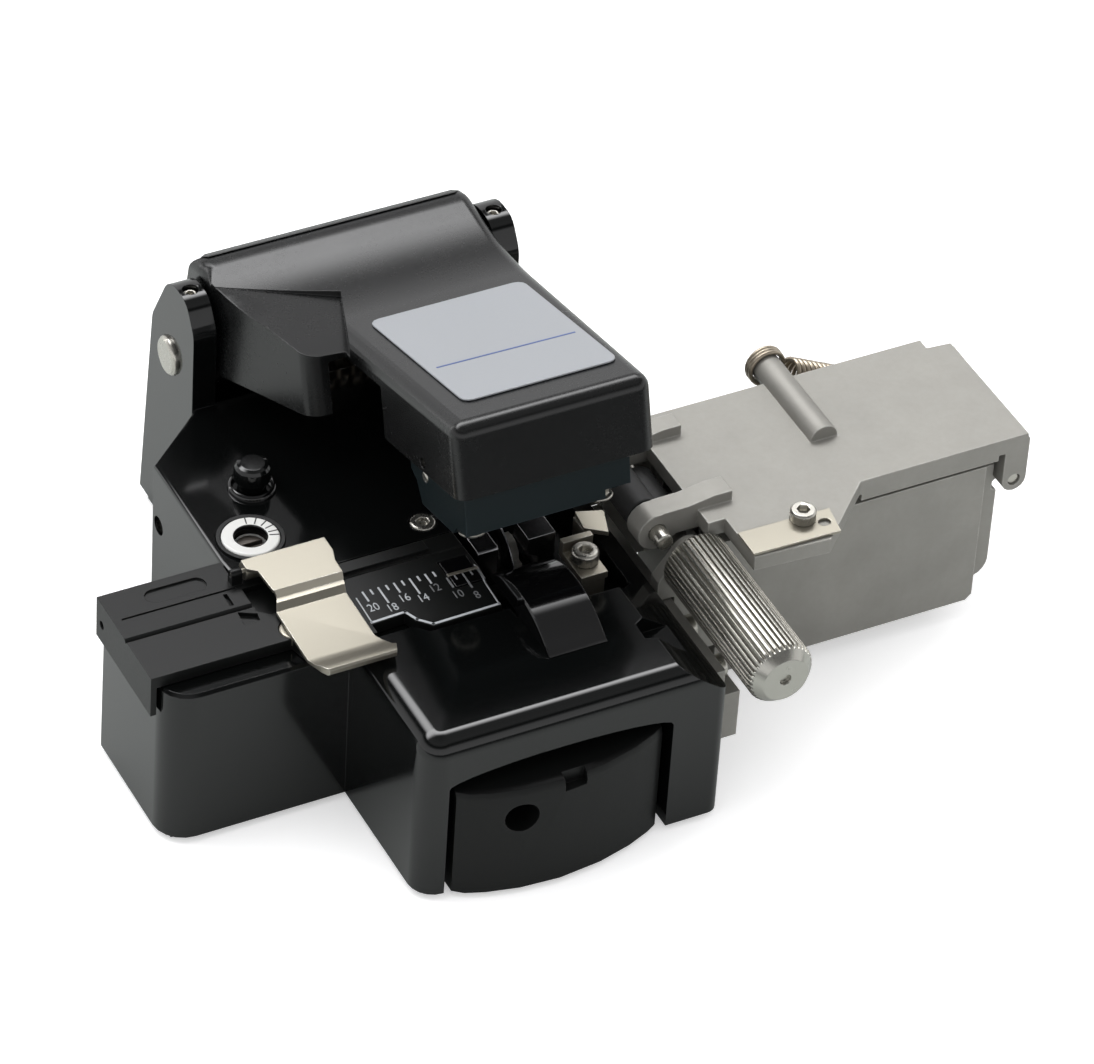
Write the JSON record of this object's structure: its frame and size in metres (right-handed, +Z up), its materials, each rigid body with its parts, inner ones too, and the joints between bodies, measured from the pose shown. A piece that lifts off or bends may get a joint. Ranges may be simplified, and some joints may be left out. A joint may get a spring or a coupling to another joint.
{
  "type": "fiber cleaver",
  "caption": "Hand-held optical fibre cleaver: sprung clamp arm over a sliding round blade, lift-lid fibre adapter, and a roller-fed off-cut collector at the right",
  "frame": {"origin": "on the underside of the base pad (the resting plane), straight below the cleaving point where the blade crosses the fibre line", "axes": "+Z up; +X to the right as the user faces the slider pull, along the fibre from the adapter towards the off-cut collector; +Y to the back, towards the arm hinge"},
  "size_m": [0.1167, 0.0868, 0.0512],
  "materials": {
    "satin_black_paint": "satin black enamel on a zinc or aluminium die casting",
    "gloss_black": "polished black",
    "black_plastic": "matte black",
    "blue_grey": "dark blue-grey anodised",
    "die_cast": "bare bead-blasted casting",
    "nickel": "bright nickel-plated sheet",
    "steel": "turned steel",
    "hard_steel": "ground hardened steel",
    "spring_wire": "drawn spring wire",
    "rubber": "black rubber",
    "silver_label": "silver film",
    "white_plastic": "white"
  },
  "bodies": {
    "base": {"base_body": "satin_black_paint", "bottom_cover": "steel", "base_pad": "rubber", "cover_screw_1": "steel", "cover_screw_2": "steel", "cover_screw_3": "steel", "cover_screw_4": "steel", "guide_rail": "steel", "lower_clamp_left": "hard_steel", "lower_clamp_right": "hard_steel", "clamp_bracket": "nickel", "clamp_bracket_screw": "steel", "clamp_guide_plate": "nickel", "deck_screw": "steel", "side_set_screw": "steel", "ear_set_screw_left": "steel", "ear_set_screw_right": "steel", "arm_hinge_pin": "steel", "arm_spring": "spring_wire", "blade_guard": "gloss_black", "fibre_adapter": "black_plastic", "adapter_magnet": "nickel", "ruler_strip": "nickel", "lid_pin": "steel", "dial_bezel": "black_plastic", "collector_bracket": "die_cast", "bracket_screw_1": "steel", "bracket_screw_2": "steel", "collector_box": "die_cast", "cover_hinge_pin": "steel", "spring_peg": "steel", "cover_spring": "spring_wire"},
    "arm": {"arm_shell": "satin_black_paint", "arm_label": "silver_label", "head_pin": "steel"},
    "head": {"clamp_head": "blue_grey", "head_side_pin": "steel", "cap_nut_left": "steel", "cap_nut_right": "steel", "upper_pad_left": "rubber", "upper_pad_right": "rubber", "anvil": "rubber"},
    "slider": {"slider_carriage": "die_cast", "slider_pull": "black_plastic", "pull_screw": "steel"},
    "blade": {"blade_wheel": "hard_steel", "blade_shaft": "steel"},
    "lid": {"clamp_lid": "nickel"},
    "dial": {"height_dial": "white_plastic", "dial_screw": "steel"},
    "button": {"release_button": "black_plastic"},
    "cover": {"collector_cover": "die_cast", "leaf_spring": "nickel", "leaf_screw": "steel"},
    "drive": {"drive_roller": "rubber", "drive_shaft": "steel", "roller_knob": "steel"},
    "pinch": {"pinch_roller": "rubber", "pinch_shaft": "steel"}
  },
  "joints": [
    {"name": "arm_hinge", "type": "hinge", "parent": "base", "child": "arm", "pos_m": [0, 0.043, 0.0288], "axis": [1, 0, 0], "range_deg": [0, 8]},
    {"name": "head_tilt", "type": "hinge", "parent": "arm", "child": "head", "pos_m": [0, -0.00068, 0.04081], "axis": [1, 0, 0], "range_deg": [0, 4.8]},
    {"name": "slider_slide", "type": "slide", "parent": "base", "child": "slider", "axis": [0, -1, 0], "range_m": [0, 0.0165]},
    {"name": "blade_index", "type": "hinge", "parent": "slider", "child": "blade", "pos_m": [0, 0.0033, 0.0188], "axis": [1, 0, 0], "continuous": true},
    {"name": "lid_hinge", "type": "hinge", "parent": "base", "child": "lid", "pos_m": [-0.0273, 0.0046, 0.0266], "axis": [-1, 0, 0], "range_deg": [0, 88]},
    {"name": "dial_turn", "type": "hinge", "parent": "base", "child": "dial", "pos_m": [-0.0289, 0.0113, 0.025], "axis": [0, 0, 1], "range_deg": [-150, 150]},
    {"name": "button_push", "type": "slide", "parent": "base", "child": "button", "axis": [0, 0, -1], "range_m": [0, 0.0014]},
    {"name": "cover_hinge", "type": "hinge", "parent": "base", "child": "cover", "pos_m": [0.0647, 0, 0.0214], "axis": [0, 1, 0], "range_deg": [0, 75], "deforming": ["cover_spring"]},
    {"name": "drive_spin", "type": "hinge", "parent": "base", "child": "drive", "pos_m": [0.0197, 0, 0.0235], "axis": [0, 1, 0], "continuous": true},
    {"name": "pinch_spin", "type": "hinge", "parent": "cover", "child": "pinch", "pos_m": [0.0161, 0, 0.0266], "axis": [0, 1, 0], "continuous": true}
  ],
  "couplings": [
    {"joint": "head_tilt", "follows": "arm_hinge", "ratio": 0.6},
    {"joint": "pinch_spin", "follows": "drive_spin", "ratio": -1.0667}
  ]
}
